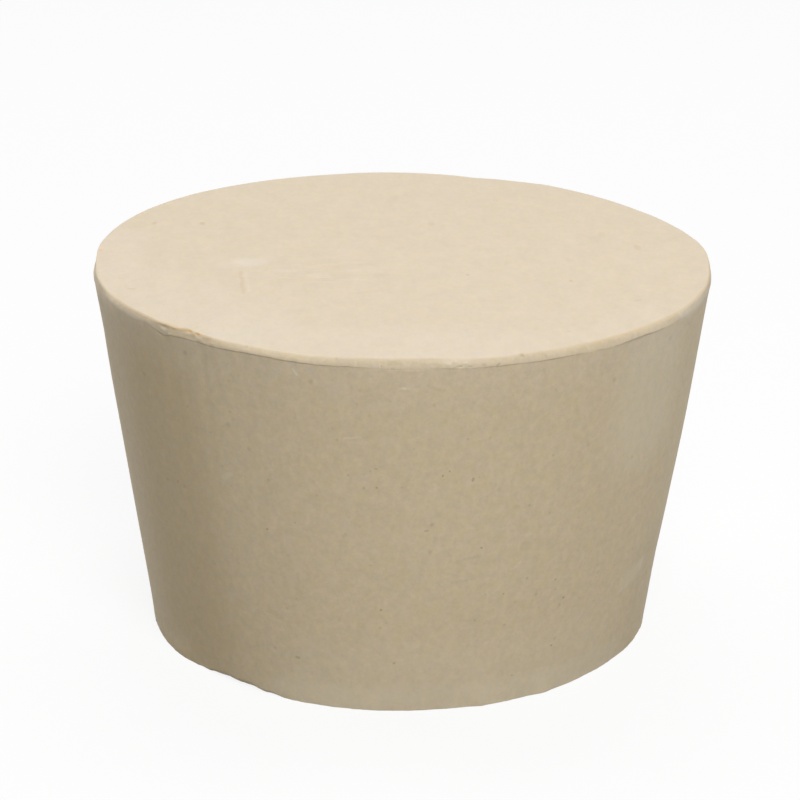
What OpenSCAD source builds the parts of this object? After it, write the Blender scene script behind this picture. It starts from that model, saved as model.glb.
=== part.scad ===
// Solid rubber stopper, moulded in one piece: a tapered plug whose wide end carries a short
// straight land. Millimetres, +Z up. It stands on its narrow face, and the origin is the
// centre of that face.

/* [Plug] */
// Diameter of the wide end, across the land
wide_d = 56; // [52:0.5:70]
// Diameter of the narrow end, where the taper meets the narrow face
narrow_d = 46.7; // [38:0.1:50]
// Height from the narrow face to the wide face
height = 34.5; // [20:0.1:50]

/* [Land at the wide end] */
// Height of the straight land above the parting line
land_h = 1.15; // [0.7:0.05:3]
// Width of the step under the land, where it stands out past the taper
land_step = 0.1; // [0.05:0.05:0.5]
// Radius of the land's upper edge
land_edge_r = 0.55; // [0.1:0.05:0.6]

/* [Narrow end] */
// Radius of the edge round the narrow face
foot_edge_r = 0.2; // [0.1:0.1:3]
// How far the knife cut that trimmed the narrow edge goes in past the sharp corner
trim_depth = 0.35; // [0.2:0.05:1]
// Place of the cut round the plug, in degrees from the front, growing towards +X
trim_at = -38; // [-180:1:180]
// Lean of the cut, in degrees from upright
trim_lean = 50; // [30:1:60]

/* [Hidden] */
$fn = 180;
rubber_colour = [0.86, 0.80, 0.70];

wide_r = wide_d / 2;
narrow_r = narrow_d / 2;
parting_z = height - land_h;                    // the step under the land lies at this height
mouth_r = wide_r - land_step;                   // radius of the taper where it reaches the parting line
taper = atan((mouth_r - narrow_r) / parting_z); // lean of the side, in degrees from upright
foot_x = narrow_r - foot_edge_r * (1 - sin(taper)) / cos(taper); // centre of the foot's arc
land_x = wide_r - land_edge_r;                  // centre of the land's arc
hair = 0.001;                                   // the side ends this far inside the foot's arc, to cross it cleanly
knife = [40, 8, 12];                            // block that the cut takes away, far larger than the cut

// Half section, X outwards and Y up. Each edge arc is tangent to the lines on both its sides.
module half_section() {
    polygon([
        [0, 0],
        [foot_x, 0],
        [foot_x + (foot_edge_r - hair) * cos(taper), foot_edge_r - (foot_edge_r - hair) * sin(taper)],
        [mouth_r, parting_z],
        [wide_r, parting_z],
        [wide_r, height - land_edge_r],
        [land_x, height],
        [0, height]
    ]);
    translate([foot_x, foot_edge_r]) circle(r = foot_edge_r);
    translate([land_x, height - land_edge_r]) circle(r = land_edge_r);
}

// Block whose inner face is the plane of the cut, leaning in under the narrow edge
module knife_cut() {
    rotate([0, 0, trim_at])
        translate([0, -narrow_r, 0])
            rotate([trim_lean, 0, 0])
                translate([-knife.x / 2, trim_depth - knife.y, -knife.z / 2])
                    cube(knife);
}

// The plug, revolved about its axis and trimmed with one cut at the narrow edge
module stopper() {
    color(rubber_colour)
        difference() {
            rotate_extrude() half_section();
            knife_cut();
        }
}

stopper();
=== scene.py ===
import math

import bpy
import numpy as np
from mathutils import Matrix, Vector


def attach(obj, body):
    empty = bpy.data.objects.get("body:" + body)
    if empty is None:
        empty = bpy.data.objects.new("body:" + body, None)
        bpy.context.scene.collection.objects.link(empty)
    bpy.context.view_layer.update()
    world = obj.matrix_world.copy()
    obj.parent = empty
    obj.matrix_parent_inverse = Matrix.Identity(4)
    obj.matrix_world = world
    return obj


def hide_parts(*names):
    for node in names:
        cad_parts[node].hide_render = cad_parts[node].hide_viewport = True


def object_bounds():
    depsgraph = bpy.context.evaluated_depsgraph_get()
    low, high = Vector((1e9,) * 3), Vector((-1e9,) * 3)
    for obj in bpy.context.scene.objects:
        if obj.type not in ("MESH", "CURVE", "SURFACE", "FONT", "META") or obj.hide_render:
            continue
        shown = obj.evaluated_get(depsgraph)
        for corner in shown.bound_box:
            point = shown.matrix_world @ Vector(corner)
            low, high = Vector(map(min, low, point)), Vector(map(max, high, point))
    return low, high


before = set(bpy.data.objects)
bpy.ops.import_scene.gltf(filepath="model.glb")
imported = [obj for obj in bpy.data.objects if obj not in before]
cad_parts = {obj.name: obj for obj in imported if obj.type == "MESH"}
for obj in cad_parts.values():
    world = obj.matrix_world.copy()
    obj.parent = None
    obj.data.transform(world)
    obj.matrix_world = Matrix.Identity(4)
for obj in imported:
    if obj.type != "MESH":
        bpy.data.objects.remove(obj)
cadLow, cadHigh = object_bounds()
mm = 0.001


# The plug's skin. Lengths are in millimetres and azimuths in degrees, 0 at the front (-Y) and
# growing towards +X.

plug = {
    "wideRadius": -cadLow.x / mm,
    "height": cadHigh.z / mm,
    "narrowRadius": 23.37,          # where the taper meets the narrow face
    "footRadius": 0.06,             # round the narrow face
    "sag": 4,                       # the wide face falls to its rim as this power of the radius
    "sideSlow": 0.02,               # slow unevenness of the side
    "sideWaves": (5, 26, 40),       # its shortest and longest wave, and how many
    "sideAboveFoot": (0.5, 4),      # it sets in between these distances from the foot
    "sideBelowRim": (0.3, 3),       # and from the rim
    "wideSlow": 0.012,              # the same for the wide face
    "wideWaves": (6, 30, 40),
    "wideWithin": (0.6, 3),
    "swellBelowRim": (0.8, 4.8),    # the side's swells set in here
    "narrowMiddle": 0.4,            # radius of the innermost ring of the narrow face
    "wideMiddle": 0.3,              # and of the wide face
    "columns": 1152,
    "crowding": 0.35,               # columns stand this share closer at the front, wider at the back
    "seed": 11,
}

# (azimuth, value) knots round the plug
rim = {
    # how far the edge of the wide face lies below its middle
    "drop": [
        (-180, 0.02), (-172, 0), (-166, 0.05), (-158, 0.04), (-140, 0), (-100, 0), (-84, 0.10),
        (-76, 0.22), (-71, 0.28), (-67, 0.38), (-64, 0.43), (-60, 0.38), (-52, 0.30), (-48, 0.32),
        (-45, 0.30), (-43, 0.33), (-41.4, 0.26), (-40.2, 0.12), (-39, 0.21), (-38, 0.18), (-37, 0.25),
        (-35, 0.27), (-32, 0.36), (-22, 0.45), (-16, 0.49), (-12, 0.44), (-8, 0.32), (-2, 0.28),
        (4, 0.23), (8, 0.34), (11, 0.42), (17, 0.46), (21, 0.35), (26, 0.38), (32, 0.32), (41, 0.36),
        (46, 0.34), (53, 0.38), (60, 0.42), (65, 0.36), (70, 0.32), (80, 0.10), (90, 0.03),
        (98, 0.03), (104, 0.10), (110, 0.16), (125, 0.25), (137, 0.16), (149, 0.06), (155, 0.14),
        (160, 0.17), (165, 0.24), (170, 0.13)],
    # depth of the parting line below the middle of the wide face
    "parting": [
        (-180, 1.0), (-100, 1.2), (-66, 1.10), (-56, 1.10), (-50, 0.95), (-48, 1.15), (-46.7, 1.30),
        (-45.3, 1.38), (-44, 1.08), (-42.5, 0.98), (-38, 0.96), (-34, 0.98), (-25, 1.02), (-16, 1.10),
        (-8, 1.10), (-2, 1.22), (8, 1.14), (14, 1.18), (26, 1.20), (32, 1.16), (40, 1.20), (46, 1.12),
        (52, 1.20), (70, 1.15), (90, 1.15), (120, 1.05)],
    # how far the land overhangs the side at the parting line
    "step": [
        (-180, 0.06), (-120, 0.05), (-90, 0), (-48, 0), (-46.5, 0.03), (-45.3, 0.07), (-44, 0.02),
        (-42.5, 0.05), (-41, 0.03), (-39, 0.005), (-38, 0.02), (-36.5, 0.05), (-31, 0.045),
        (-24, 0.035), (-21, 0.045), (-16, 0.06), (-12, 0.04), (-8, 0.03), (-4, 0.02), (3, 0.01),
        (6, 0.02), (8, 0.05), (11, 0.07), (14, 0.05), (18, 0.05), (20, 0.03), (23, 0.04), (26, 0.05),
        (29, 0.03), (35, 0.035), (38, 0.045), (41, 0.04), (44, 0.04), (47, 0.055), (50, 0.045),
        (54, 0.02), (62, 0), (90, 0), (120, 0.04)],
    # reach of the blend of the side into the land, where nothing marks the parting line
    "merge": [
        (-180, 0.05), (-90, 0.4), (-48, 0.4), (-46, 0.05), (54, 0.05), (60, 0.3), (90, 0.3),
        (110, 0.05)],
    # radius of the land's upper edge
    "round": [
        (-180, 0.50), (-140, 0.25), (-132, 0.06), (-118, 0.06), (-100, 0.30), (-91, 0.12),
        (-86, 0.12), (-82, 0.24), (-76, 0.26), (-70, 0.28), (-64, 0.34), (-52, 0.32), (-48, 0.25),
        (-46, 0.12), (-43, 0.14), (-41, 0.30), (-39, 0.25), (-36, 0.30), (-32, 0.45), (-20, 0.50),
        (30, 0.50), (52, 0.45), (60, 0.32), (85, 0.30), (94, 0.20), (103, 0.45), (115, 0.55)],
    # how far the land bows back between the parting line and its edge
    "lean": [
        (-180, 0.08), (-130, 0.08), (-110, 0.04), (-90, 0), (-80, 0.04), (-72, 0.06), (-68, 0.10),
        (-65, 0.16), (-60, 0.14), (-50, 0.11), (-47, 0.03), (-43, 0.05), (-41, 0.14), (-38, 0.08),
        (-34, 0.08), (-30, 0.14), (40, 0.14), (60, 0.10), (68, 0.05), (76, 0), (100, 0), (115, 0.06)],
    # how far it stands back above a bead along its foot
    "inset": [
        (-180, 0.03), (-130, 0), (-104, 0), (-96, 0.02), (-92, 0.12), (-88, 0.20), (-84, 0.18),
        (-80, 0.08), (-77, 0), (76, 0), (82, 0.10), (90, 0.12), (96, 0.05), (102, 0)],
    "insetFrom": 0.25,              # and between which heights above the parting line that sets in
    "insetTo": 0.50,
    # how strongly the edge is painted with a warm glow, as of light shining through the thin rubber
    "paintedGlowAndOrange": [
        (-180, 0.1), (-80, 0.05), (-68, 0.08), (-62, 0.18), (-56, 0.30), (-50, 0.32), (-44, 0.5),
        (-38, 0.5), (-34, 0.2), (-20, 0.1), (30, 0.12), (45, 0.28), (75, 0.30), (90, 0.15)],
    "paintedGlowAt": -0.05,                # where along the profile, below zero on the wide face
    "paintedGlowHalf": 0.13,               # and how far it reaches
    "stepTo": 0.03,                 # heights above the parting line at which the step ends
    "landFrom": 0.04,               # and the land starts
    "landLeast": 0.05,              # the edge's radius leaves this much of the land
    "partingWaves": (9, 160, 0.9),  # orders and fall of the parting line's waves
    "waver": 0.03,                  # their height
    "stepWaver": 0.25,              # how much the step grows or shrinks with them
    "stepLeast": 0.2,               # the share of it that always stays
    "rough": 0.01,                  # unevenness of the land's face
    "roughWaves": (30, 420, 0.4),
    "roughTurn": 9,                 # radians by which it changes for each millimetre down
    "roughAbove": (0.05, 0.35),     # it sets in between these heights above the parting line
    "spotsDown": 3,                 # spots reach this far below the wide face
    "spotSink": 0.5,                # and lower the edge by this share of what they take off it
    "profileZero": 3,               # the ring of the edge from which the profile is measured
}

# Torn, smeared and crumbly spots on the rim: azimuth, depth below the wide face's edge, half width
# along the rim, half height, how far the spot stands out (in, below zero), and how orange it is: partly
# the torn rubber's own colour, partly a painted glow of light through the thin flash
rimSpots = [
    (-46.2, 0.22, 0.50, 0.07, -0.05, 0.10),     # tear under the edge
    (-45.3, 0.26, 0.35, 0.07, -0.06, 0.25),
    (-43.3, 0.20, 0.35, 0.08, -0.03, 0.35),
    (-46.3, 0.52, 0.22, 0.13, 0.05, 0),         # smeared flap of flash
    (-45.2, 0.55, 0.28, 0.16, 0.06, 0),
    (-44.0, 0.72, 0.22, 0.12, 0.05, 0),
    (-46.6, 1.00, 0.30, 0.12, -0.05, 0),
    (-41.0, 0.12, 0.40, 0.10, 0.01, 0.25),
    (-39.9, 0.40, 0.40, 0.15, 0.03, 0),
    (-39.4, 0.10, 0.20, 0.09, -0.07, 0.60),     # two notches
    (-38.4, 0.20, 0.20, 0.10, 0.03, 0),
    (-37.6, 0.13, 0.20, 0.09, -0.08, 0.65),
    (-36.9, 0.45, 0.30, 0.12, 0.04, 0),
    (-35.0, 0.30, 0.20, 0.15, -0.04, 0.15),
    (-34.0, 0.50, 0.20, 0.15, 0.03, 0),
    (7.7, 0.45, 0.18, 0.13, 0.08, 0),           # crumbly stretch
    (8.9, 0.25, 0.16, 0.10, 0.07, 0),
    (9.7, 0.62, 0.18, 0.09, -0.09, 0.15),
    (10.6, 0.35, 0.16, 0.10, 0.08, 0),
    (11.4, 0.65, 0.17, 0.08, -0.08, 0.15),
    (20.7, 0.10, 0.08, 0.07, -0.10, 0.3),       # pit
    (42.6, 0.10, 0.14, 0.09, 0.04, 0),
    (-80.0, 0.95, 2.50, 0.30, 0.06, 0),         # bead of flash
    (-89.0, 1.10, 2.20, 0.35, -0.14, 0),
    (79.0, 1.05, 2.50, 0.25, 0.04, 0),
]

foot = {
    "cutAt": -38,                   # a knife cut trims the edge here
    "cutDepth": 0.34,               # this far in past the sharp corner
    "cutLean": 50,                  # degrees from upright
    # how much deeper the cut is, softened by this many degrees
    "nicks": [
        (-52, 0.02), (-49.5, 0.06), (-48.2, 0), (-46.6, -0.06), (-46.2, 0.03), (-43, 0.05),
        (-41, 0.14), (-40.6, 0.05), (-38, -0.02), (-37, 0.02), (-34, 0.08), (-33.4, 0.03),
        (-31, -0.07), (-30.4, -0.07), (-29, 0.04), (-27, 0.04), (-25, 0)],
    "nickSoften": 0.25,
    # how far the lip of flash stands out (in, below zero)
    "lip": [
        (-90, 0), (-80, 0.03), (-74, 0.13), (-70, 0.19), (-62, 0.24), (-58, 0.31), (-55, 0.24),
        (-52, 0.06), (-49, 0), (-28, 0), (-24, 0.08), (-16, 0.06), (-4, 0.05), (2, -0.03), (8, -0.1),
        (13, -0.13), (16, -0.05), (17.8, 0.14), (19.5, 0), (24, -0.05), (30, -0.08), (32, 0.08),
        (34, 0.13), (35.5, 0), (40, -0.06), (46, -0.13), (54, -0.12), (60, -0.05), (66, 0.04),
        (76, 0.03), (86, -0.1), (95, 0)],
    "lipReach": 2.6,                # how far from the corner the lip fades out
    "waver": 0.018,                 # the corner's fine waver, its orders and fall, and its reach
    "waverWaves": (12, 240, 0.8),
    "waverReach": 0.6,
}

# Where the side swells or sinks: azimuth, height, half angle, half height, and how far out
swells = [
    (85, 22, 30, 9, 0.16),
    (85, 6, 25, 4, -0.09),
    (-85, 24, 40, 12, 0.05),
    (-85, 29, 20, 3.5, -0.12),
]


def smooth(low, high, value):
    # 0 below low, 1 above high, and 3t^2 - 2t^3 between
    t = np.clip((value - low) / (high - low), 0, 1)
    return t * t * (3 - 2 * t)


def aroundAxis(knots, azimuth, soften=0.5):
    # Straight lines between the knots, averaged over a Gaussian of `soften` degrees
    fine = np.arange(7200) / 20 - 180
    at, values = np.array(knots, float).T
    waves = np.fft.rfft(np.interp(fine, at, values, period=360))
    order = np.arange(len(waves))
    line = np.fft.irfft(waves * np.exp(-0.5 * (order * math.radians(soften)) ** 2), len(fine))
    return np.interp(azimuth, fine, line, period=360)


def ringWaves(rng, azimuth, first, last, fall):
    # Sum over whole orders k of cos(k * azimuth + phase) / k ** fall, scaled to a spread of one
    order = np.arange(first, last + 1)[:, None]
    phase = rng.uniform(0, 2 * math.pi, order.shape)
    total = (np.cos(order * np.radians(azimuth) + phase) / order ** float(fall)).sum(axis=0)
    return total / total.std()


def spaceWaves(rng, x, y, z, shortest, longest, count):
    # Sum of plane waves in random directions with lengths from shortest to longest, each as
    # strong as it is long, scaled to a spread of one
    total = np.zeros(x.shape)
    for _ in range(count):
        aim = rng.normal(size=3)
        aim /= np.linalg.norm(aim)
        length = shortest * (longest / shortest) ** rng.uniform()
        phase = rng.uniform(0, 2 * math.pi)
        total += length * np.cos((aim[0] * x + aim[1] * y + aim[2] * z) * 2 * math.pi / length + phase)
    return total / total.std()


def strip(radius, height, shares, azimuth):
    # Rings between the ends of two (start, end) pairs: start + (end - start) * share
    column = np.asarray(shares, float)[:, None] + 0 * azimuth
    return [radius[0] + (radius[1] - radius[0]) * column, height[0] + (height[1] - height[0]) * column]


def arc(radius, height, r, start, end, count, azimuth):
    # Rings round a centre: centre + r * (cos a, sin a), with a from start to end
    turn = start + (end - start) * (np.linspace(0, 1, count)[:, None] + 0 * azimuth)
    return [radius + r * np.cos(turn), height + r * np.sin(turn)]


def startSlope(lean, rise, edge):
    # Angle at which the edge's arc has to start to go on from the land: its tangent is twice the
    # lean over the land's own height, which depends on the angle, so it is put in again and again
    rounds = 30
    bow = 0 * lean
    for _ in range(rounds):
        bow = np.arctan2(2 * lean, rise - edge * (1 - np.sin(bow)))
    return bow


def plugRings(p, azimuth, rng):
    # Radius and height of every ring at every azimuth: out along the narrow face, round its edge,
    # up the taper, out along the step, up the land, over its edge and in along the wide face.
    # The land's radius falls with the square of the way up it.
    wide, footEdge = p["wideRadius"], p["footRadius"]
    top = p["height"] - aroundAxis(rim["drop"], azimuth)
    waves = ringWaves(rng, azimuth, *rim["partingWaves"])
    parting = p["height"] - aroundAxis(rim["parting"], azimuth) + rim["waver"] * waves
    edge = np.minimum(aroundAxis(rim["round"], azimuth), top - parting - rim["landLeast"])
    grown = np.maximum(1 + rim["stepWaver"] * waves, rim["stepLeast"])
    mouth = wide - aroundAxis(rim["step"], azimuth) * grown
    lean = aroundAxis(rim["lean"], azimuth)
    bow = startSlope(lean, top - parting, edge)
    centre = wide - lean - edge * np.cos(bow)
    taper = np.arctan2(mouth - p["narrowRadius"], parting)
    footX = p["narrowRadius"] - footEdge * (1 - np.sin(taper)) / np.cos(taper)
    across = [0, 0.4, 0.6, 0.75, 0.88, 0.955, 0.963, 0.970, 0.977, 0.984, 0.992]
    up = [0.003, 0.006, 0.010, 0.014, 0.02, 0.03, 0.045, *np.linspace(0.07, 0.93, 13),
          0.95, 0.965, 0.978, 0.987, 0.993, 0.997, 1]
    inwards = np.linspace(0, 1, 18)[1:] ** 1.5      # closer near the rim
    footRings, landRings, edgeRings = 6, 8, 13
    landTop = top - edge + edge * np.sin(bow)
    parts = {
        "narrowFace": strip((p["narrowMiddle"], footX), (0, 0), across, azimuth),
        "footEdge": arc(footX, footEdge, footEdge, -math.pi / 2, -taper, footRings, azimuth),
        "side": strip((footX + footEdge * np.cos(taper), mouth),
                      (footEdge * (1 - np.sin(taper)), parting), up, azimuth),
        "step": strip((mouth, wide), (parting, parting + rim["stepTo"]), [0.1, 0.5, 0.9], azimuth),
        "land": strip((0, 1), (parting + rim["landFrom"], landTop),
                      np.linspace(0, 1, landRings + 1)[:-1], azimuth),
        "edge": arc(centre, top - edge, edge, bow, math.pi / 2, edgeRings, azimuth),
        "wideFace": strip((centre, p["wideMiddle"]), (0, 0), inwards, azimuth),
    }
    parts["land"][0] = wide - lean * parts["land"][0] ** 2
    for name in ("land", "edge"):
        radius, height = parts[name]
        setIn = smooth(rim["insetFrom"], rim["insetTo"], height - parting)
        parts[name][0] = radius - aroundAxis(rim["inset"], azimuth) * setIn
    radius = parts["wideFace"][0]
    parts["wideFace"][1] = p["height"] + (top - p["height"]) * (radius / centre) ** p["sag"]
    zone = np.concatenate([np.full(len(pair[0]), k) for k, pair in enumerate(parts.values())])
    on = {name: (zone == k)[:, None] for k, name in enumerate(parts)}
    radius = np.concatenate([pair[0] for pair in parts.values()])
    height = np.concatenate([pair[1] for pair in parts.values()])
    return radius, height, on, top, parting


def alongProfile(radius, height, start):
    # Length of the profile down from ring `start`, below zero on the rings after it
    steps = np.hypot(np.diff(radius, axis=0), np.diff(height, axis=0))
    length = np.concatenate([np.zeros((1, radius.shape[1])), np.cumsum(steps, axis=0)])
    return length[start] - length


def addRimSpots(p, radius, height, azimuth, below, on):
    # Each spot is a Gaussian along the rim and down from the wide face's edge. It moves the surface
    # out, and where it moves the edge in, it lowers it too.
    outward, spotOrangeAndGlow = np.zeros(radius.shape), np.zeros(radius.shape)
    for at, depth, halfWidth, halfHeight, out, colouring in rimSpots:
        along = (azimuth - at) * math.radians(1) * p["wideRadius"] / halfWidth
        spot = np.exp(-along ** 2 - ((below - depth) / halfHeight) ** 2)
        outward += out * spot
        # the orange is partly the torn rubber's own, partly a painted glow of light through the thin flash
        spotOrangeAndGlow += colouring * spot
    nearRim = on["land"] | on["edge"] | on["step"] | (on["side"] & (below < rim["spotsDown"]))
    radius = np.where(nearRim, radius + outward, radius)
    height = np.where(on["edge"], height + np.minimum(outward, 0) * rim["spotSink"], height)
    return radius, height, spotOrangeAndGlow


def trimFoot(p, radius, height, azimuth, rng):
    # A lip of flash and a fine waver fade out with the distance from the corner. Then comes the
    # knife cut: what lies past its plane is pushed back onto it.
    waver = foot["waver"] * ringWaves(rng, azimuth, *foot["waverWaves"])
    away = np.hypot(radius - p["narrowRadius"], height)
    radius = radius + aroundAxis(foot["lip"], azimuth) * (1 - smooth(0, foot["lipReach"], away))
    radius = radius + waver * (1 - smooth(0, foot["waverReach"], away))
    turned, lean = np.radians(azimuth - foot["cutAt"]), math.radians(foot["cutLean"])
    depth = foot["cutDepth"] + aroundAxis(foot["nicks"], azimuth, foot["nickSoften"])
    past = (radius * np.cos(turned) - p["narrowRadius"]) * math.cos(lean) - height * math.sin(lean) + depth
    past = np.maximum(past, 0)
    return radius - past * math.cos(lean), height + past * math.sin(lean)


def roughenLand(radius, height, azimuth, below, parting, on, rng):
    # The land's face goes in by the size of one set of waves plus another that comes and goes
    # on the way down
    first = ringWaves(rng, azimuth, *rim["roughWaves"])
    second = ringWaves(rng, azimuth, *rim["roughWaves"])
    rough = rim["rough"] * np.abs(first + second * np.sin(below * rim["roughTurn"]))
    return radius - rough * (on["land"] | on["edge"]) * smooth(*rim["roughAbove"], height - parting)


def mergeSide(p, radius, height, azimuth, parting, on):
    # Where the side merges into the land, their corner sinks in by half the taper's slope times
    # reach * exp(-distance / reach)
    reach = aroundAxis(rim["merge"], azimuth)
    slope = (p["wideRadius"] - p["narrowRadius"]) / p["height"] / 2
    fade = np.exp(-np.abs(height - parting) / reach)
    return radius - slope * reach * fade * (on["side"] | on["step"] | on["land"])


def swellSide(p, radius, height, azimuth, below, on):
    # The side swells and sinks a little: Gaussians in azimuth and height
    for at, z, halfAngle, halfHeight, out in swells:
        spread = np.exp(-((azimuth - at) / halfAngle) ** 2 - ((height - z) / halfHeight) ** 2)
        radius = radius + out * spread * on["side"] * smooth(*p["swellBelowRim"], below)
    return radius


def unevenSurface(p, radius, height, azimuth, below, on, rng):
    # Slow waves move the side in and out and the wide face down. Both fade out near their edges,
    # and nothing passes the square round the wide end.
    wide = p["wideRadius"]
    across, ahead = np.sin(np.radians(azimuth)), np.cos(np.radians(azimuth))
    x, y = radius * across, -radius * ahead
    onSide = on["side"] * smooth(*p["sideAboveFoot"], height) * smooth(*p["sideBelowRim"], below)
    radius = radius + p["sideSlow"] * spaceWaves(rng, x, y, height, *p["sideWaves"]) * onSide
    onWide = on["wideFace"] * smooth(*p["wideWithin"], wide - radius)
    height = height - p["wideSlow"] * np.abs(spaceWaves(rng, x, y, height, *p["wideWaves"])) * onWide
    return np.minimum(radius, wide / np.maximum(np.abs(across), np.abs(ahead))), height


def plugSkin(p):
    # The rings with all that is uneven on them. Their columns stand at
    # azimuth = even - crowding * sin(even).
    rng = np.random.default_rng(p["seed"])
    even = np.arange(p["columns"]) * 360 / p["columns"] - 180
    azimuth = even - p["crowding"] * np.degrees(np.sin(np.radians(even)))
    radius, height, on, top, parting = plugRings(p, azimuth, rng)
    below = top - height
    print("rings:", radius.shape)
    radius = roughenLand(radius, height, azimuth, below, parting, on, rng)
    radius = mergeSide(p, radius, height, azimuth, parting, on)
    radius, height, spotOrangeAndGlow = addRimSpots(p, radius, height, azimuth, below, on)
    print("rim spots:", len(rimSpots))
    radius, height = trimFoot(p, radius, height, azimuth, rng)
    print("foot edge")
    radius = swellSide(p, radius, height, azimuth, below, on)
    radius, height = unevenSurface(p, radius, height, azimuth, below, on, rng)
    print("unevenness")
    fromRim = alongProfile(radius, height, int(np.argmax(on["edge"])) + rim["profileZero"])
    # A painted warm glow in a band along the edge, standing for light that shines through the thin rubber,
    # plus the spots' orange
    paintedGlowBand = np.exp(-((fromRim - rim["paintedGlowAt"]) / rim["paintedGlowHalf"]) ** 2)
    paintedGlowAndOrange = np.clip(aroundAxis(rim["paintedGlowAndOrange"], azimuth) * paintedGlowBand + spotOrangeAndGlow, 0, 1)
    return radius, height, azimuth, {"fromRim": fromRim, "paintedGlowAndOrange": paintedGlowAndOrange}


def closedMesh(name, radius, height, azimuth, attributes):
    # Turns rings into a mesh: (radius * sin, -radius * cos, height), with a pole at each end
    rows, count = radius.shape
    x, y = radius * np.sin(np.radians(azimuth)), -radius * np.cos(np.radians(azimuth))
    points = np.stack([x, y, height], axis=2).reshape(-1, 3)
    poles = [[0, 0, height[0].mean()], [0, 0, height[-1].mean()]]
    points = np.vstack([points, poles]) * mm
    row, column = np.meshgrid(np.arange(rows - 1), np.arange(count), indexing="ij")
    beside = (column + 1) % count
    quads = np.stack([row * count + column, row * count + beside,
                      (row + 1) * count + beside, (row + 1) * count + column], axis=2).reshape(-1, 4)
    column, beside = np.arange(count), (np.arange(count) + 1) % count
    low = np.stack([np.full(count, rows * count), beside, column], axis=1)
    high = np.stack([np.full(count, rows * count + 1), (rows - 1) * count + column,
                     (rows - 1) * count + beside], axis=1)
    mesh = bpy.data.meshes.new(name)
    mesh.from_pydata(points.tolist(), [], quads.tolist() + low.tolist() + high.tolist())
    mesh.polygons.foreach_set("use_smooth", np.ones(len(mesh.polygons), bool))
    for label, values in attributes.items():
        layer = mesh.attributes.new(label, "FLOAT", "POINT")
        ends = [values[0].mean(), values[-1].mean()]
        layer.data.foreach_set("value", np.concatenate([values.reshape(-1), ends]).astype(np.float32))
    mesh.update()
    return mesh


mouldedPlug = bpy.data.objects.new("mouldedPlug", closedMesh("mouldedPlug", *plugSkin(plug)))
bpy.context.collection.objects.link(mouldedPlug)
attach(mouldedPlug, "root")
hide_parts("stopper")
print("plug:", len(mouldedPlug.data.vertices), "points")


# The rubber's colours, grain and marks, and painted light and shade

rubber = {
    "pale": (0.745, 0.620, 0.445),  # the grain runs between these two
    "deep": (0.635, 0.530, 0.370),
    "yellow": (0.700, 0.575, 0.335),
    "grey": (0.680, 0.575, 0.485),
    "pink": (0.740, 0.560, 0.410),
    "green": (0.640, 0.590, 0.405),
    # Painted light and shade by region, multiplied in: the side deeper and yellower, the rim lighter, the
    # wide face lighter and bluer
    "paintedSideTint": (0.990, 0.978, 0.918),
    "paintedRimLight": (1.000, 0.995, 0.975),   # painted light near the rim, turning into the side's painted shade between these
    "paintedRimLightFrom": 1.0,
    "paintedRimLightReach": 5.0,
    "paintedWideSheen": (0.995, 1.010, 1.080),  # painted sheen on the wide face, lighter and bluer
    "wideWithin": 0.25,             # which is full from this far in from the edge
    "slant": 0.3,                   # mm by which the profile to the foot is longer than the plug
    "footFade": 1.0,                # within which the side's marks end past it
    "stainsAndPaintedLight": {
        "dustAndPaintedShade": (0.26, 0.20, 0.12),     # dust moulded in, also painted shade on the side
        "chalkAndPaintedLight": (0.86, 0.80, 0.68),    # rubbed and powdery, also painted light on the side
        "brown": (0.55, 0.36, 0.16),
        "salmon": (0.85, 0.42, 0.30),
        # amber specks, also broad painted shade on the side
        "amberAndPaintedShade": (0.34, 0.22, 0.05),
        # painted light on the land
        "paintedLandLight": (0.95, 0.81, 0.61),
    },
    "paintedGlowColour": (0.62, 0.40, 0.17),     # painted warm glow of light through thin edges and torn spots
    "roughness": 0.62,
    "unevenRoughness": 0.03,
    "gloss": 0.28,
    "wideFlow": (1.0, 0.70, 1.0),   # the wide face's grain is drawn out along Y
    # noises: size in mm, finer octaves and how strong those are, then the noise's own strength on
    # the side and on the wide face
    "mottle": (0.8, 2.6, 0.85, 0.60, 0.30),
    "grain": (0.28, 1.0, 0.5, 0.06, 0.02),
    "clouds": (2.0, 1.5, 0.5, 0.0, 0.16),
    "yellowing": (1.0, 2.0, 0.7, 0.42, 0.22),
    "reddening": (0.9, 2.0, 0.7, 0.18, 0.12),
    "wrinkling": (1.0, 2.0, 0.7),   # the same without its own strengths
    "wrinkleMost": 0.45,
    "wrinklesAt": (-6.0, -6.0, 34.5),
    "wrinkleReach": (9.0, 6.0, 3.0),
    "wrinkleCore": 0.2,             # share of the reach over which they are full
    "wrinkleDraw": (0.30, 2.2, 1.0),    # they are drawn out along X
    "shift": (31.0, 17.0, 5.0),     # places apart, so that the noises don't run alike
    "shiftAway": (-23.0, 41.0, 9.0),
    "grainBump": 0.0016,            # mm
    "dots": (0.90, 0.24, 0.30, 0.34),   # spacing, largest radius, share of cells, strength
    "pits": (1.90, 0.42, 0.45, 0.32),
    "pitDepth": 0.03,
    "cleanWide": 0.25,              # share of both that the wide face shows
    "ragged": (1.2, 0.3),           # scale and reach of what makes the marks' outlines uneven
}
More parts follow.
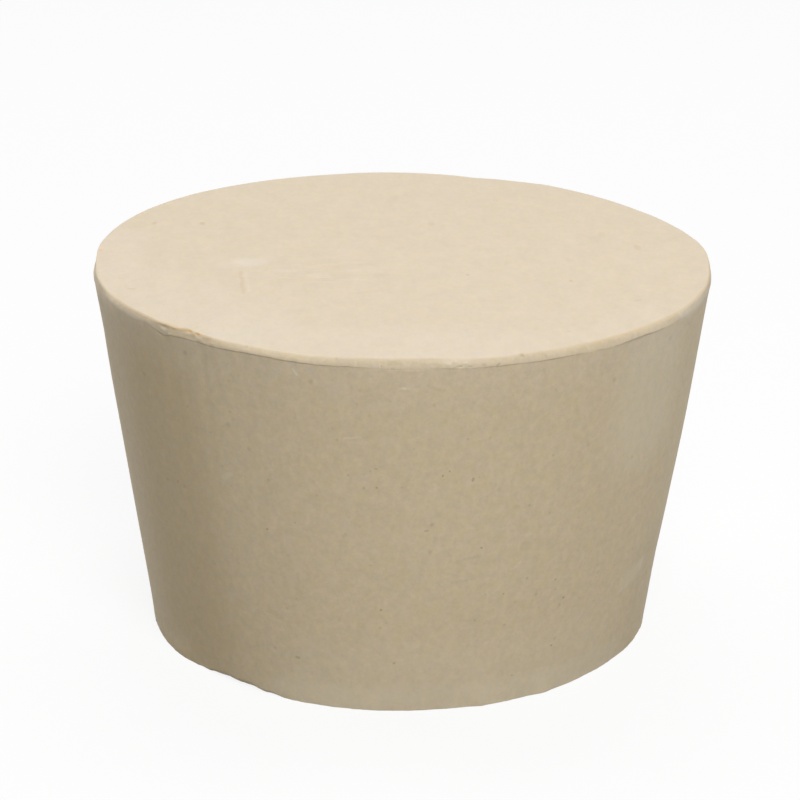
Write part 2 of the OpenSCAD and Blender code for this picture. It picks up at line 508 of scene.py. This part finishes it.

# Marks: place, turn, half length, half width, colouring and its share. Some colourings are stains,
# some are painted light or painted shade.
# On the wide face the place is X and Y, and the turn is from +X.
wideMarks = [
    (-4, -25, 0, 12, 7, "chalkAndPaintedLight", 0.08),         # broad paler patches
    (-20, -15, -45, 6, 9, "chalkAndPaintedLight", 0.09),
    (21, -18, 40, 5, 6, "chalkAndPaintedLight", 0.04),
    (-26, 0, 90, 4, 4, "chalkAndPaintedLight", 0.08),
    (-14.1, -8.8, -84, 3.0, 0.25, "brown", 0.19),       # crease
    (-13.6, -8.8, -84, 2.6, 0.25, "chalkAndPaintedLight", 0.08),
    (-13.7, -3.0, 5, 0.4, 1.7, "chalkAndPaintedLight", 0.17),          # pale rub across its end
    (-14.8, -3.8, 8, 0.8, 1.5, "chalkAndPaintedLight", 0.08),
    (-10.3, -5.4, 0, 0.3, 1.1, "chalkAndPaintedLight", 0.06),          # wrinkles
    (-7.3, -6.6, 3, 0.4, 0.9, "chalkAndPaintedLight", 0.07),
    (-9.0, -8.1, -3, 2.0, 0.35, "brown", 0.08),
    (-6.3, -4.2, 8, 0.8, 0.6, "brown", 0.08),
    (-3.2, -11.4, 18, 1.4, 0.4, "dustAndPaintedShade", 0.05),
    (-18.9, 8.8, 90, 0.2, 0.34, "brown", 0.38),         # dots
    (-23.4, 8.8, 90, 0.2, 0.34, "brown", 0.34),
    (2.7, 9.5, 90, 0.4, 0.45, "amberAndPaintedShade", 0.10),
    (5.8, -6.2, 90, 0.1, 0.26, "brown", 0.40),
    (14.9, -7.6, 90, 0.1, 0.22, "brown", 0.45),
    (21.6, 2.5, 90, 0.5, 0.40, "amberAndPaintedShade", 0.13),
    (15.0, -1.5, 90, 0.4, 0.4, "amberAndPaintedShade", 0.07),
    (18.6, 6.5, 90, 0.6, 0.4, "amberAndPaintedShade", 0.08),
    (9.5, -2.5, 90, 0.5, 0.5, "amberAndPaintedShade", 0.05),
    (-1.0, 17.5, 90, 0.8, 0.7, "amberAndPaintedShade", 0.06),
    (9.0, 18.0, 90, 0.6, 0.4, "amberAndPaintedShade", 0.05),
    (11.5, 8.5, 0, 0.5, 0.4, "amberAndPaintedShade", 0.05),
    (20.4, -12.2, 25, 0.3, 0.12, "dustAndPaintedShade", 0.22),
    (13.9, -20.7, 0, 0.1, 0.14, "dustAndPaintedShade", 0.22),
    (-23.7, -10.3, -20, 0.2, 0.3, "dustAndPaintedShade", 0.12),        # grey smudge
    (-27.6, 0.2, 0, 0.05, 0.35, "salmon", 0.60),
]
# On the side the place is azimuth and height, and the turn is from level.
sideMarks = [
    (-50, 16, 90, 11, 8, "amberAndPaintedShade", 0.18),        # painted shade at the left
    # painted shade at the lower right
    (68, 5, 90, 3, 6, "dustAndPaintedShade", 0.10),
    # painted light at the upper right
    (52, 27, 90, 2, 7.5, "chalkAndPaintedLight", 0.25),
    # painted light along the foot, as thrown up by the floor
    (15, 0.8, 0, 15, 2.6, "chalkAndPaintedLight", 0.20),
    # painted light on the land at the left, where the light from above falls on it more
    (-83, 33.6, 0, 4.0, 1.5, "paintedLandLight", 0.60),
    (-74, 34.0, 0, 2.5, 1.5, "paintedLandLight", 0.30),
    (-70, 34.0, 0, 2.0, 1.8, "paintedLandLight", 0.35),
    (-67, 34.0, 0, 1.5, 2.0, "paintedLandLight", 0.20),
    (13, 3.0, 0, 11, 6.0, "chalkAndPaintedLight", 0.11),
    (9.3, 34.0, 0, 0.8, 0.7, "chalkAndPaintedLight", 0.22),
    (-57, 33.9, 0, 2.0, 0.9, "chalkAndPaintedLight", 0.12),
    (67, 34.0, 0, 3.5, 1.3, "chalkAndPaintedLight", 0.34),
    (-46.2, 33.75, 0, 0.1, 0.22, "chalkAndPaintedLight", 0.40),        # smeared flap
    (-45.3, 33.60, -20, 0.15, 0.22, "chalkAndPaintedLight", 0.25),
    (-44.0, 33.45, 0, 0.1, 0.20, "chalkAndPaintedLight", 0.20),
    (-39.0, 33.50, 0, 0.5, 0.25, "chalkAndPaintedLight", 0.20),
    (-3.4, 33.6, 0, 0, 0.13, "dustAndPaintedShade", 0.30),             # small cracks and pits along the parting line
    (-1.5, 33.4, 0, 0.1, 0.13, "dustAndPaintedShade", 0.20),
    (9.3, 33.5, 10, 0.35, 0.13, "dustAndPaintedShade", 0.18),
    (13.9, 33.5, 0, 0.1, 0.13, "dustAndPaintedShade", 0.18),
    (16.3, 33.45, 30, 0.1, 0.14, "dustAndPaintedShade", 0.35),
    (20.7, 34.0, 0, 0.05, 0.16, "dustAndPaintedShade", 0.45),
    (-18.3, 32.5, -60, 0.3, 0.16, "chalkAndPaintedLight", 0.35),
    (1.0, 31.65, 3, 0.6, 0.18, "chalkAndPaintedLight", 0.18),
    (0.5, 31.6, 0, 0, 0.22, "chalkAndPaintedLight", 0.35),
    (2.3, 31.8, 20, 0.35, 0.22, "dustAndPaintedShade", 0.09),
    (5.8, 31.6, -20, 0.7, 0.25, "dustAndPaintedShade", 0.09),
    (25.2, 16.9, 0, 0.1, 0.35, "chalkAndPaintedLight", 0.22),          # dent in colour only: painted highlight above, painted shade below
    (24.9, 15.7, 0, 0.2, 0.6, "dustAndPaintedShade", 0.12),
    (58.5, 8.4, 10, 1.5, 1.3, "chalkAndPaintedLight", 0.20),           # powdery patch
    (62.5, 8.9, 80, 0.3, 0.6, "chalkAndPaintedLight", 0.15),
    (-34.0, 21.4, 30, 0.4, 0.4, "chalkAndPaintedLight", 0.20),
    (-8.5, 26.9, 5, 0.6, 0.18, "chalkAndPaintedLight", 0.25),
    (12.9, 15.2, 12, 1.0, 0.22, "dustAndPaintedShade", 0.08),          # scratches
    (9.7, 13.8, -25, 0.7, 0.20, "dustAndPaintedShade", 0.08),
    (12.6, 13.1, 5, 1.0, 0.22, "dustAndPaintedShade", 0.08),
    (23.5, 14.0, 50, 0.4, 0.12, "chalkAndPaintedLight", 0.20),
    (-42, 27, 0, 0, 0.15, "dustAndPaintedShade", 0.30),                # specks
    (-53, 30.2, 0, 0.1, 0.2, "salmon", 0.30),
    (-48, 19, 0, 0, 0.18, "dustAndPaintedShade", 0.30),
    (-26, 17, 0, 0, 0.16, "dustAndPaintedShade", 0.40),
    (-20, 18.2, 0, 0, 0.13, "dustAndPaintedShade", 0.40),
    (-10.5, 17.5, 30, 0.15, 0.22, "dustAndPaintedShade", 0.15),
    (-4.2, 22.3, 0, 0, 0.15, "dustAndPaintedShade", 0.45),
    (-6.6, 22.2, 0, 0, 0.18, "dustAndPaintedShade", 0.25),
    (-4.4, 24.1, 0, 0.1, 0.13, "dustAndPaintedShade", 0.30),
    (7.6, 23.4, 0, 0, 0.16, "dustAndPaintedShade", 0.50),
    (8.8, 23.8, 0, 0, 0.14, "dustAndPaintedShade", 0.40),
    (13.1, 22.9, 70, 0.1, 0.17, "dustAndPaintedShade", 0.40),
    (22.2, 19.8, 0, 0.1, 0.3, "dustAndPaintedShade", 0.12),
    (39.0, 25.4, 0, 0.1, 0.16, "salmon", 0.25),
    (5.0, 18.2, 0, 0.1, 0.15, "dustAndPaintedShade", 0.35),
    (15.7, 16.2, 0, 0, 0.16, "dustAndPaintedShade", 0.50),
    (32.6, 11.7, 0, 0, 0.16, "dustAndPaintedShade", 0.40),
    (35.3, 9.6, 0, 0, 0.2, "dustAndPaintedShade", 0.55),
    (-3.5, 10.3, 0, 0, 0.18, "dustAndPaintedShade", 0.45),
    (20.9, 11.3, 0, 0, 0.15, "dustAndPaintedShade", 0.40),
    (33.8, 4.9, 0, 0, 0.17, "dustAndPaintedShade", 0.50),
    (-21.4, 4.6, 0, 0.1, 0.18, "dustAndPaintedShade", 0.35),
    (-1, 5, 0, 0, 0.18, "dustAndPaintedShade", 0.40),
]


def node(tree, kind, inputs=None, **settings):
    # Adds a node, sets its options, and gives each named input a value or a link
    made = tree.nodes.new("ShaderNode" + kind)
    for key, value in settings.items():
        setattr(made, key, value)
    for socket, value in (inputs or {}).items():
        if isinstance(value, bpy.types.NodeSocket):
            tree.links.new(value, made.inputs[socket])
        else:
            made.inputs[socket].default_value = value
    return made


def calc(tree, operation, first, second=0.0, third=0.0, clamp=False):
    # One step of arithmetic on up to three numbers
    inputs = {0: first, 1: second, 2: third}
    return node(tree, "Math", inputs, operation=operation, use_clamp=clamp).outputs[0]


def vector(tree, operation, inputs):
    # The same on vectors
    return node(tree, "VectorMath", inputs, operation=operation).outputs[0]


def blend(tree, share, first, second):
    # first * (1 - share) + second * share
    first, second = (value if isinstance(value, bpy.types.NodeSocket) else (*value, 1)
                     for value in (first, second))
    return node(tree, "Mix", {0: share, 6: first, 7: second}, data_type="RGBA").outputs[2]


def newGroup(name, inputs, output):
    # A node group with (label, kind, value) inputs and one number out
    group = bpy.data.node_groups.new(name, "ShaderNodeTree")
    for label, kind, value in inputs:
        socket = group.interface.new_socket(label, in_out="INPUT", socket_type="NodeSocket" + kind)
        socket.default_value = value
    group.interface.new_socket(output, in_out="OUTPUT", socket_type="NodeSocketFloat")
    return group, group.nodes.new("NodeGroupInput").outputs, group.nodes.new("NodeGroupOutput").inputs


def grainGroup():
    # Noise with features of Size millimetres and finer octaves: (noise - 0.5) * contrast, which
    # mostly lies between -1 and 1
    contrast = 4.0
    group, given, result = newGroup("rubberGrain", [
        ("Place", "Vector", (0, 0, 0)), ("Size", "Float", 1),
        ("Detail", "Float", 2), ("Evenness", "Float", 0.5)], "Tone")
    scale = calc(group, "DIVIDE", 1.0, given["Size"])
    noise = node(group, "TexNoise", {"Vector": given["Place"], "Scale": scale,
                                     "Detail": given["Detail"], "Roughness": given["Evenness"]})
    tone = calc(group, "MULTIPLY_ADD", noise.outputs["Fac"], contrast, -contrast / 2)
    group.links.new(tone, result["Tone"])
    return group


def speckGroup():
    # Balls at a Share of the points of a cell pattern, cut by the surface:
    # (1 - (distance / radius)^2)^2 * strength. Each has its own radius, between a share of Radius
    # and all of it, in millimetres, and its own strength up to 1.
    smallest, faintest = 0.35, 0.2
    group, given, result = newGroup("mouldedSpecks", [
        ("Place", "Vector", (0, 0, 0)), ("Spacing", "Float", 1),
        ("Radius", "Float", 0.1), ("Share", "Float", 0.1)], "Mask")
    scale = calc(group, "DIVIDE", 1.0, given["Spacing"])
    cells = node(group, "TexVoronoi", {"Vector": given["Place"], "Scale": scale})
    draw = node(group, "SeparateColor", {0: cells.outputs["Color"]})
    largest = calc(group, "DIVIDE", given["Radius"], given["Spacing"])
    reach = calc(group, "MULTIPLY_ADD", draw.outputs[1], 1 - smallest, smallest)
    reach = calc(group, "MULTIPLY", largest, reach)
    far = calc(group, "DIVIDE", cells.outputs["Distance"], reach)
    near = calc(group, "SUBTRACT", 1.0, calc(group, "MULTIPLY", far, far), clamp=True)
    soft = calc(group, "MULTIPLY", near, near)
    chosen = calc(group, "LESS_THAN", draw.outputs[0], given["Share"])
    strength = calc(group, "MULTIPLY_ADD", draw.outputs[2], 1 - faintest, faintest)
    strength = calc(group, "MULTIPLY", chosen, strength)
    group.links.new(calc(group, "MULTIPLY", soft, strength), result["Mask"])
    return group


def markGroup():
    # 1 near a line of Half Length about Centre along Direction, within the core's share of Half
    # Width, fading to 0 at Half Width. Distances along Normal count for what flatten leaves.
    core, flatten = 0.3, 0.9
    group, given, result = newGroup("rubMark", [
        ("Place", "Vector", (0, 0, 0)), ("Centre", "Vector", (0, 0, 0)),
        ("Direction", "Vector", (1, 0, 0)), ("Normal", "Vector", (0, 0, 1)),
        ("Half Length", "Float", 1), ("Half Width", "Float", 0.3)], "Mask")
    offset = vector(group, "SUBTRACT", {0: given["Place"], 1: given["Centre"]})
    along = node(group, "VectorMath", {0: offset, 1: given["Direction"]}, operation="DOT_PRODUCT")
    lift = node(group, "VectorMath", {0: offset, 1: given["Normal"]}, operation="DOT_PRODUCT")
    low = calc(group, "MULTIPLY", given["Half Length"], -1.0)
    held = node(group, "Clamp", {"Value": along.outputs["Value"], "Min": low, "Max": given["Half Length"]})
    nearest = vector(group, "SCALE", {0: given["Direction"], "Scale": held.outputs[0]})
    lifted = calc(group, "MULTIPLY", lift.outputs["Value"], flatten)
    raised = vector(group, "SCALE", {0: given["Normal"], "Scale": lifted})
    line = vector(group, "ADD", {0: nearest, 1: raised})
    away = node(group, "VectorMath", {0: offset, 1: line}, operation="DISTANCE")
    full = calc(group, "MULTIPLY", given["Half Width"], core)
    fade = node(group, "MapRange", {"Value": away.outputs["Value"], "From Min": given["Half Width"],
                                    "From Max": full}, interpolation_type="SMOOTHSTEP")
    group.links.new(fade.outputs[0], result["Mask"])
    return group


def placed(tree, group, inputs):
    # Puts a group into a material and gives each named input a value or a link
    made = tree.nodes.new("ShaderNodeGroup")
    made.node_tree = group
    for socket, value in inputs.items():
        if isinstance(value, bpy.types.NodeSocket):
            tree.links.new(value, made.inputs[socket])
        else:
            made.inputs[socket].default_value = value
    return made.outputs[0]


def onSide(p, azimuthAt, z, turn):
    # Centre, direction and normal of a mark on the taper
    a, t = math.radians(azimuthAt), math.radians(turn)
    r = p["narrowRadius"] + (p["wideRadius"] - p["narrowRadius"]) * z / p["height"]
    direction = (math.cos(t) * math.cos(a), math.cos(t) * math.sin(a), math.sin(t))
    return (r * math.sin(a), -r * math.cos(a), z), direction, (math.sin(a), -math.cos(a), 0)


def onWideFace(p, x, y, turn):
    # The same for a mark on the wide face
    t = math.radians(turn)
    return (x, y, p["height"]), (math.cos(t), math.sin(t), 0), (0, 0, 1)


def rubberMaterial(v, p):
    # Tone and hue from noises, then dust, marks (stains, painted light and painted shade), a painted warm
    # glow on thin edges and a painted light-and-shade tint for each region, which is told by the length of
    # the profile from the rim
    material = bpy.data.materials.new("beigeRubber")
    material.use_nodes = True
    tree = material.node_tree
    tree.nodes.clear()
    place = vector(tree, "SCALE", {0: node(tree, "TexCoord").outputs["Object"], "Scale": 1 / mm})
    fromRim = node(tree, "Attribute", attribute_name="fromRim").outputs["Fac"]
    paintedGlowAndOrange = node(tree, "Attribute", attribute_name="paintedGlowAndOrange").outputs["Fac"]
    grains, specks, rubs = grainGroup(), speckGroup(), markGroup()

    def ramp(value, start, end, **settings):
        # 0 at start and 1 at end
        inputs = {"Value": value, "From Min": start, "From Max": end}
        return node(tree, "MapRange", inputs, **settings).outputs[0]

    onWide = ramp(fromRim, 0.0, -v["wideWithin"])

    def strength(side, wide):
        # the side's value, turning into the wide face's
        return calc(tree, "MULTIPLY_ADD", onWide, wide - side, side)

    def noise(name, spot):
        # one of the noises at a place
        size, octaves, evenness = v[name][:3]
        return placed(tree, grains, {"Place": spot, "Size": size, "Detail": octaves, "Evenness": evenness})

    # noises about the middle tone
    flow = node(tree, "Mix", {0: onWide, 4: (1, 1, 1), 5: v["wideFlow"]}, data_type="VECTOR").outputs[1]
    flow = vector(tree, "MULTIPLY", {0: place, 1: flow})
    shifted = vector(tree, "ADD", {0: flow, 1: v["shift"]})
    apart = vector(tree, "ADD", {0: flow, 1: v["shiftAway"]})
    mottle, fine, cloud = noise("mottle", flow), noise("grain", shifted), noise("clouds", apart)
    tone = calc(tree, "MULTIPLY_ADD", mottle, strength(*v["mottle"][3:]), 0.5)
    tone = calc(tree, "MULTIPLY_ADD", fine, strength(*v["grain"][3:]), tone)
    tone = calc(tree, "MULTIPLY_ADD", cloud, strength(*v["clouds"][3:]), tone)

    # wrinkles fade out from a point of the wide face
    offset = vector(tree, "SUBTRACT", {0: place, 1: v["wrinklesAt"]})
    offset = vector(tree, "DIVIDE", {0: offset, 1: v["wrinkleReach"]})
    far = node(tree, "VectorMath", {0: offset}, operation="LENGTH").outputs["Value"]
    amid = ramp(far, 1.0, v["wrinkleCore"], interpolation_type="SMOOTHSTEP")
    wrinkle = noise("wrinkling", vector(tree, "MULTIPLY", {0: shifted, 1: v["wrinkleDraw"]}))
    wrinkle = calc(tree, "MULTIPLY", wrinkle, amid)
    tone = calc(tree, "MULTIPLY_ADD", wrinkle, v["wrinkleMost"], tone, clamp=True)
    colour = blend(tree, tone, v["deep"], v["pale"])

    # two more noises shift the hue
    for spot, name, less, more in ((shifted, "yellowing", "yellow", "grey"),
                                   (apart, "reddening", "pink", "green")):
        hue = calc(tree, "MULTIPLY", noise(name, spot), strength(*v[name][3:]))
        colour = blend(tree, calc(tree, "MULTIPLY", hue, -1.0, clamp=True), colour, v[less])
        colour = blend(tree, calc(tree, "MULTIPLY", hue, 1.0, clamp=True), colour, v[more])

    # dust moulded in
    relief = calc(tree, "MULTIPLY", fine, v["grainBump"])
    for spacing, radius, share, most in (v["dots"], v["pits"]):
        dust = placed(tree, specks, {"Place": place, "Spacing": spacing, "Radius": radius, "Share": share})
        dust = calc(tree, "MULTIPLY", dust, strength(most, most * v["cleanWide"]))
        colour = blend(tree, dust, colour, v["stainsAndPaintedLight"]["dustAndPaintedShade"])
        relief = calc(tree, "MULTIPLY_ADD", dust, -v["pitDepth"], relief)

    # marks with uneven outlines, those of the side only between the rim and the foot
    scale, reach = v["ragged"]
    warped = node(tree, "TexNoise", {"Vector": place, "Scale": scale, "Detail": 1.0}).outputs["Color"]
    warped = vector(tree, "SUBTRACT", {0: warped, 1: (0.5, 0.5, 0.5)})
    warped = vector(tree, "MULTIPLY_ADD", {0: warped, 1: (reach, reach, reach), 2: place})
    length = p["height"] + v["slant"]
    onSides = calc(tree, "SUBTRACT", ramp(fromRim, length + v["footFade"], length), onWide)
    marks = [(onWide, *onWideFace(p, *row[:3]), *row[3:]) for row in wideMarks]
    marks += [(onSides, *onSide(p, *row[:3]), *row[3:]) for row in sideMarks]
    for where, centre, direction, normal, halfLength, halfWidth, colouring, share in marks:
        mask = placed(tree, rubs, {"Place": warped, "Centre": centre, "Direction": direction,
                                   "Normal": normal, "Half Length": halfLength, "Half Width": halfWidth})
        mask = calc(tree, "MULTIPLY", mask, where)
        colour = blend(tree, calc(tree, "MULTIPLY", mask, share), colour, v["stainsAndPaintedLight"][colouring])
    # painted warm glow of light through the thin edge, with the spots' orange
    colour = blend(tree, paintedGlowAndOrange, colour, v["paintedGlowColour"])
    # painted light and shade: one tint for each region, lighter near the rim and bluer on the wide face,
    # deeper on the side
    paintedSideTint = blend(tree, ramp(fromRim, v["paintedRimLightFrom"], v["paintedRimLightReach"]), v["paintedRimLight"], v["paintedSideTint"])
    paintedRegionTint = blend(tree, onWide, paintedSideTint, v["paintedWideSheen"])
    colour = node(tree, "Mix", {0: 1.0, 6: colour, 7: paintedRegionTint}, data_type="RGBA",
                  blend_type="MULTIPLY").outputs[2]

    bump = node(tree, "Bump", {"Strength": 1.0, "Distance": mm, "Height": relief})
    rough = calc(tree, "MULTIPLY_ADD", mottle, v["unevenRoughness"], v["roughness"])
    shader = node(tree, "BsdfPrincipled", {"Base Color": colour, "Roughness": rough,
                                           "Normal": bump.outputs[0], "Specular IOR Level": v["gloss"]})
    node(tree, "OutputMaterial", {"Surface": shader.outputs["BSDF"]})
    return material


mouldedPlug.data.materials.append(rubberMaterial(rubber, plug))
print("rubber")


# Camera, lamps, floor and world

camera = {
    "place": (-0.11 * mm, -221.29 * mm, 103.43 * mm),
    "down": 20.61,                  # degrees below the horizon
    "roll": 0.561,                  # degrees
    "lens": 114.3,                  # for a sensor of this width
    "sensor": 36,
    "nearest": 0.01,                # m, where it starts to see
}
studio = {
    "world": 0.0,                   # even light from all round
    "backdrop": 1.0,                # what the camera and reflections see behind
    "floor": (0.4, 0.4, 0.4),
    "floorHalf": 3.0,
    "floorGlow": 1.24,
    "glowShare": 0.7,
    "lamps": {
        "keyLamp": {"place": (0.103, -0.484, 0.512), "size": 0.4, "power": 3.82},
        "backLamp": {"place": (0.0, 0.239, 0.675), "size": 0.4, "power": 1.70},
        "leftLamp": {"place": (-0.525, 0.303, 0.367), "size": 0.4, "power": 1.20},
        "rightLamp": {"place": (0.525, 0.303, 0.367), "size": 0.4, "power": 1.00},
    },
}


def addCamera(v):
    # Looks along +Y and down, with its own right and up turned by the roll
    e, roll = math.radians(v["down"]), math.radians(v["roll"])
    ahead = Vector((0, math.cos(e), -math.sin(e)))
    up = Vector((0, math.sin(e), math.cos(e)))
    right = Vector((1, 0, 0))
    tiltedRight = math.cos(roll) * right + math.sin(roll) * up
    tiltedUp = math.cos(roll) * up - math.sin(roll) * right
    cam = bpy.data.objects.new("camera", bpy.data.cameras.new("camera"))
    cam.data.lens = v["lens"]
    cam.data.sensor_width = v["sensor"]
    cam.data.clip_start = v["nearest"]
    turn = Matrix((tiltedRight, tiltedUp, -ahead)).transposed().to_4x4()
    cam.matrix_world = Matrix.Translation(Vector(v["place"])) @ turn
    bpy.context.collection.objects.link(cam)
    bpy.context.scene.camera = cam


def addLamp(name, v, aim):
    # A round lamp at its place, turned to face the aim
    lamp = bpy.data.objects.new(name, bpy.data.lights.new(name, "AREA"))
    lamp.data.shape = "DISK"
    lamp.data.size = v["size"]
    lamp.data.energy = v["power"]
    lamp.location = v["place"]
    lamp.rotation_euler = (Vector(aim) - Vector(v["place"])).to_track_quat("-Z", "Y").to_euler()
    bpy.context.collection.objects.link(lamp)


def seenDirectly(tree):
    # 1 for camera, glossy and transmission rays, 0 for the rest
    path = node(tree, "LightPath").outputs
    seen = calc(tree, "MAXIMUM", path["Is Camera Ray"], path["Is Glossy Ray"])
    return calc(tree, "MAXIMUM", seen, path["Is Transmission Ray"])


def addFloor(v):
    # A square at height 0 that takes the shadow. What sees it directly sees part of it glow.
    half = v["floorHalf"]
    corners = [(-half, -half, 0), (half, -half, 0), (half, half, 0), (-half, half, 0)]
    mesh = bpy.data.meshes.new("floor")
    mesh.from_pydata(corners, [], [(0, 1, 2, 3)])
    floor = bpy.data.objects.new("floor", mesh)
    bpy.context.collection.objects.link(floor)
    material = bpy.data.materials.new("paleFloor")
    material.use_nodes = True
    tree = material.node_tree
    tree.nodes.clear()
    board = node(tree, "BsdfDiffuse", {"Color": (*v["floor"], 1)})
    glow = node(tree, "Emission", {"Strength": v["floorGlow"]})
    share = calc(tree, "MULTIPLY", seenDirectly(tree), v["glowShare"])
    mix = node(tree, "MixShader", {0: share, 1: board.outputs[0], 2: glow.outputs[0]})
    node(tree, "OutputMaterial", {"Surface": mix.outputs[0]})
    mesh.materials.append(material)


def addWorld(v):
    # White behind for what sees it directly, and its own strength as light
    world = bpy.data.worlds.new("studioLight")
    world.use_nodes = True
    bpy.context.scene.world = world
    tree = world.node_tree
    tree.nodes.clear()
    fill = node(tree, "Background", {"Color": (1, 1, 1, 1), "Strength": v["world"]})
    seen = node(tree, "Background", {"Color": (1, 1, 1, 1), "Strength": v["backdrop"]})
    mix = node(tree, "MixShader", {0: seenDirectly(tree), 1: fill.outputs[0], 2: seen.outputs[0]})
    node(tree, "OutputWorld", {"Surface": mix.outputs[0]})


addCamera(camera)
middle = (0, 0, plug["height"] / 2 * mm)
for name, lamp in studio["lamps"].items():
    addLamp(name, lamp, middle)
addFloor(studio)
addWorld(studio)
bpy.context.scene.view_settings.view_transform = "Standard"
print("studio")
